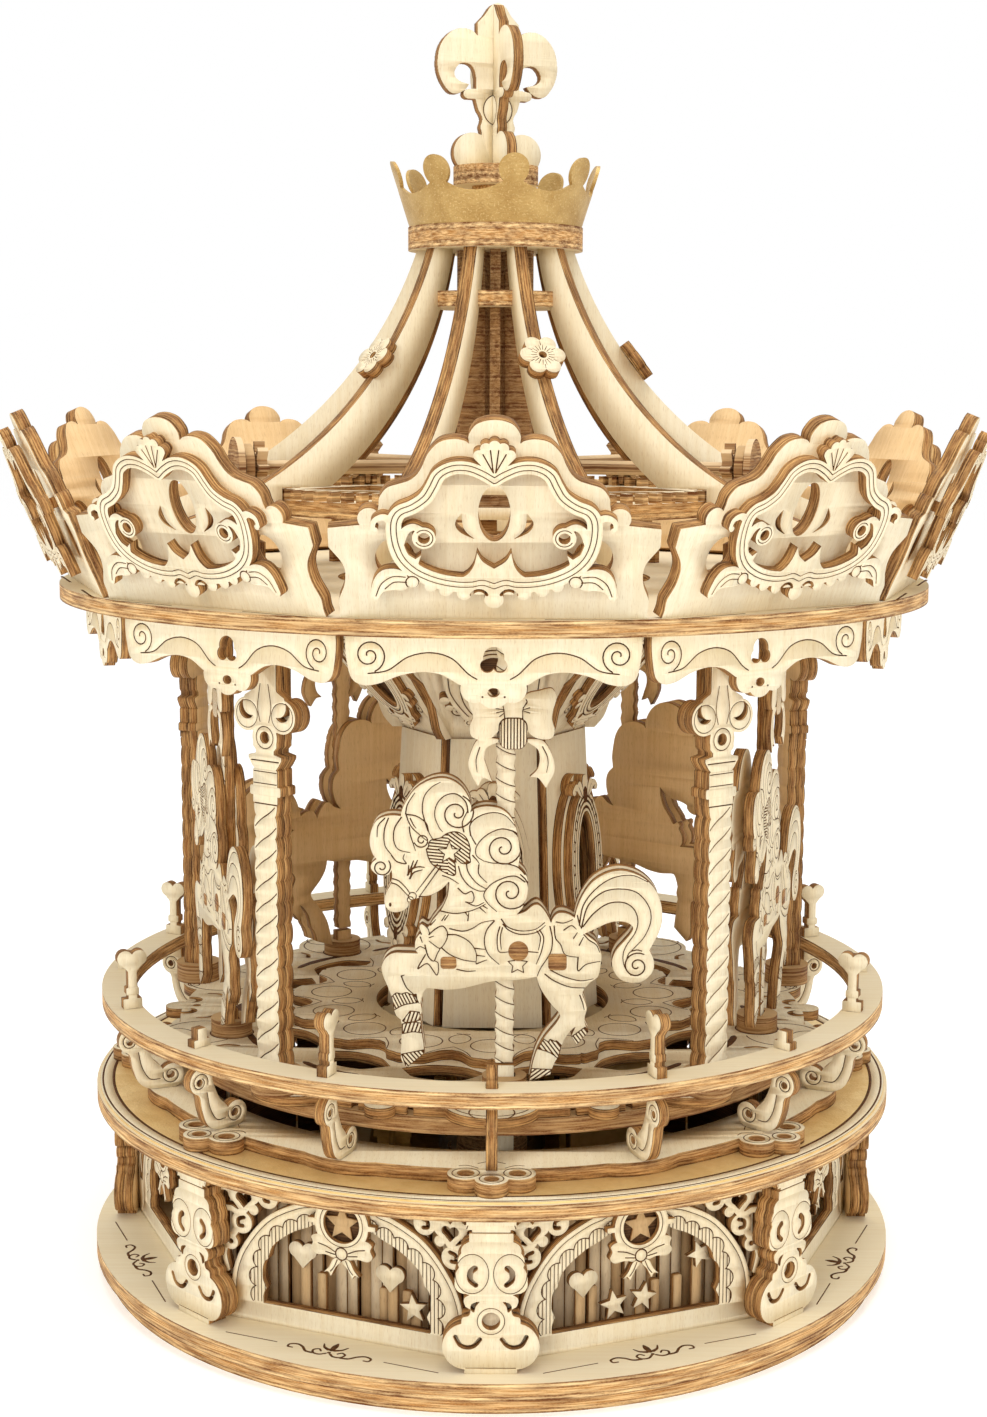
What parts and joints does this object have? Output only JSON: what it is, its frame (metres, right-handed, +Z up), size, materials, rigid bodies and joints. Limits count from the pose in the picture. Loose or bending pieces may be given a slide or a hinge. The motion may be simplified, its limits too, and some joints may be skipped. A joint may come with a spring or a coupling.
{
  "type": "carousel music box",
  "caption": "Turning plywood carousel on a round arcaded base: riders lifted by roof cranks, leaning board roof, ribbed spire with a flared crown, wind-up movement inside.",
  "frame": {"origin": "centre of the base's underside", "axes": "+Z up along the turning axis, the front towards -Y, +X to the viewer's right"},
  "size_m": [0.2036, 0.2094, 0.2715],
  "materials": {
    "basswood_ply": "bare pale basswood face with burnt laser-cut edges",
    "horse_ply": "bare basswood with engraved harness and burnt edges",
    "stained_ply": "tan stained plywood",
    "gold_card": "textured antique gold card",
    "brass": "satin",
    "steel": "satin"
  },
  "bodies": {
    "base": {"base_disc_lower": "basswood_ply", "base_disc_upper": "basswood_ply", "arch_panels": "basswood_ply", "niche_walls": "stained_ply", "pillars": "basswood_ply", "medallions": "basswood_ply", "top_ring": "basswood_ply", "inlay_ring": "gold_card", "wavy_ring": "basswood_ply", "balusters": "basswood_ply", "rail_ring": "basswood_ply", "column_core": "stained_ply", "column_floors": "basswood_ply", "column_panels": "basswood_ply", "mirror_frames": "basswood_ply", "column_cornice": "basswood_ply", "crown_wheel": "basswood_ply", "bedplate": "brass", "spring_housing": "steel", "tone_comb": "steel", "screws": "steel"},
    "carousel": {"deck_plate": "basswood_ply", "deck_lattice": "basswood_ply", "deck_rim": "stained_ply", "deck_gear": "basswood_ply", "deck_collars": "basswood_ply", "columns": "basswood_ply", "roof_disc": "basswood_ply", "board_panels": "basswood_ply", "board_cartouches": "basswood_ply", "valances": "basswood_ply", "roof_ribs": "basswood_ply", "rib_ring": "basswood_ply", "roof_hub": "basswood_ply", "shaft_strips": "basswood_ply", "axle_brackets": "stained_ply", "crown_base": "basswood_ply", "crown": "gold_card", "finial_cap": "basswood_ply", "finial_plates": "basswood_ply", "flowers": "basswood_ply"},
    "cylinder": {"pin_cylinder": "brass"},
    "drive": {"drive_gear": "brass"},
    "governor": {"governor_fan": "brass"},
    "key": {"wind_key": "basswood_ply"},
    "rider_1": {"horse_1": "horse_ply", "pole_1": "basswood_ply"},
    "crank_1": {"crank_1": "stained_ply"},
    "rider_2": {"horse_2": "horse_ply", "pole_2": "basswood_ply"},
    "crank_2": {"crank_2": "stained_ply"},
    "rider_3": {"horse_3": "horse_ply", "pole_3": "basswood_ply"},
    "crank_3": {"crank_3": "stained_ply"},
    "rider_4": {"horse_4": "horse_ply", "pole_4": "basswood_ply"},
    "crank_4": {"crank_4": "stained_ply"},
    "rider_5": {"horse_5": "horse_ply", "pole_5": "basswood_ply"},
    "crank_5": {"crank_5": "stained_ply"}
  },
  "joints": [
    {"name": "carousel_spin", "type": "hinge", "parent": "base", "child": "carousel", "pos_m": [0, 0, 0.05], "axis": [0, 0, 1], "continuous": true},
    {"name": "rider_1_lift", "type": "slide", "parent": "carousel", "child": "rider_1", "axis": [0, 0, 1], "range_m": [0, 0.0092]},
    {"name": "crank_1_spin", "type": "hinge", "parent": "carousel", "child": "crank_1", "pos_m": [0, 0, 0.175], "axis": [0, -1, 0], "continuous": true},
    {"name": "rider_2_lift", "type": "slide", "parent": "carousel", "child": "rider_2", "axis": [0, 0, 1], "range_m": [0, 0.0092]},
    {"name": "crank_2_spin", "type": "hinge", "parent": "carousel", "child": "crank_2", "pos_m": [0, 0, 0.175], "axis": [0.9511, -0.309, 0], "continuous": true},
    {"name": "rider_3_lift", "type": "slide", "parent": "carousel", "child": "rider_3", "axis": [0, 0, 1], "range_m": [0, 0.0092]},
    {"name": "crank_3_spin", "type": "hinge", "parent": "carousel", "child": "crank_3", "pos_m": [0, 0, 0.175], "axis": [0.5878, 0.809, 0], "continuous": true},
    {"name": "rider_4_lift", "type": "slide", "parent": "carousel", "child": "rider_4", "axis": [0, 0, 1], "range_m": [0, 0.0092]},
    {"name": "crank_4_spin", "type": "hinge", "parent": "carousel", "child": "crank_4", "pos_m": [0, 0, 0.175], "axis": [-0.5878, 0.809, 0], "continuous": true},
    {"name": "rider_5_lift", "type": "slide", "parent": "carousel", "child": "rider_5", "axis": [0, 0, 1], "range_m": [0, 0.0092]},
    {"name": "crank_5_spin", "type": "hinge", "parent": "carousel", "child": "crank_5", "pos_m": [0, 0, 0.175], "axis": [-0.9511, -0.309, 0], "continuous": true},
    {"name": "drive_spin", "type": "hinge", "parent": "base", "child": "drive", "pos_m": [0, 0.036, 0.04], "axis": [0, 0, 1], "continuous": true},
    {"name": "cylinder_spin", "type": "hinge", "parent": "base", "child": "cylinder", "pos_m": [0.0184, 0.036, 0.028], "axis": [1, 0, 0], "continuous": true},
    {"name": "governor_spin", "type": "hinge", "parent": "base", "child": "governor", "pos_m": [-0.024, 0.03, 0.016], "axis": [0, 0, 1], "continuous": true},
    {"name": "key_turn", "type": "hinge", "parent": "base", "child": "key", "pos_m": [0, 0.036, 0.002], "axis": [0, 0, 1], "range_deg": [0, 1080]}
  ],
  "couplings": [
    {"joint": "crank_1_spin", "follows": "carousel_spin", "ratio": -11.25},
    {"joint": "crank_2_spin", "follows": "carousel_spin", "ratio": -11.25},
    {"joint": "crank_3_spin", "follows": "carousel_spin", "ratio": -11.25},
    {"joint": "crank_4_spin", "follows": "carousel_spin", "ratio": -11.25},
    {"joint": "crank_5_spin", "follows": "carousel_spin", "ratio": -11.25},
    {"joint": "drive_spin", "follows": "carousel_spin", "ratio": -3},
    {"joint": "cylinder_spin", "follows": "carousel_spin", "ratio": -9},
    {"joint": "governor_spin", "follows": "carousel_spin", "ratio": 12}
  ]
}
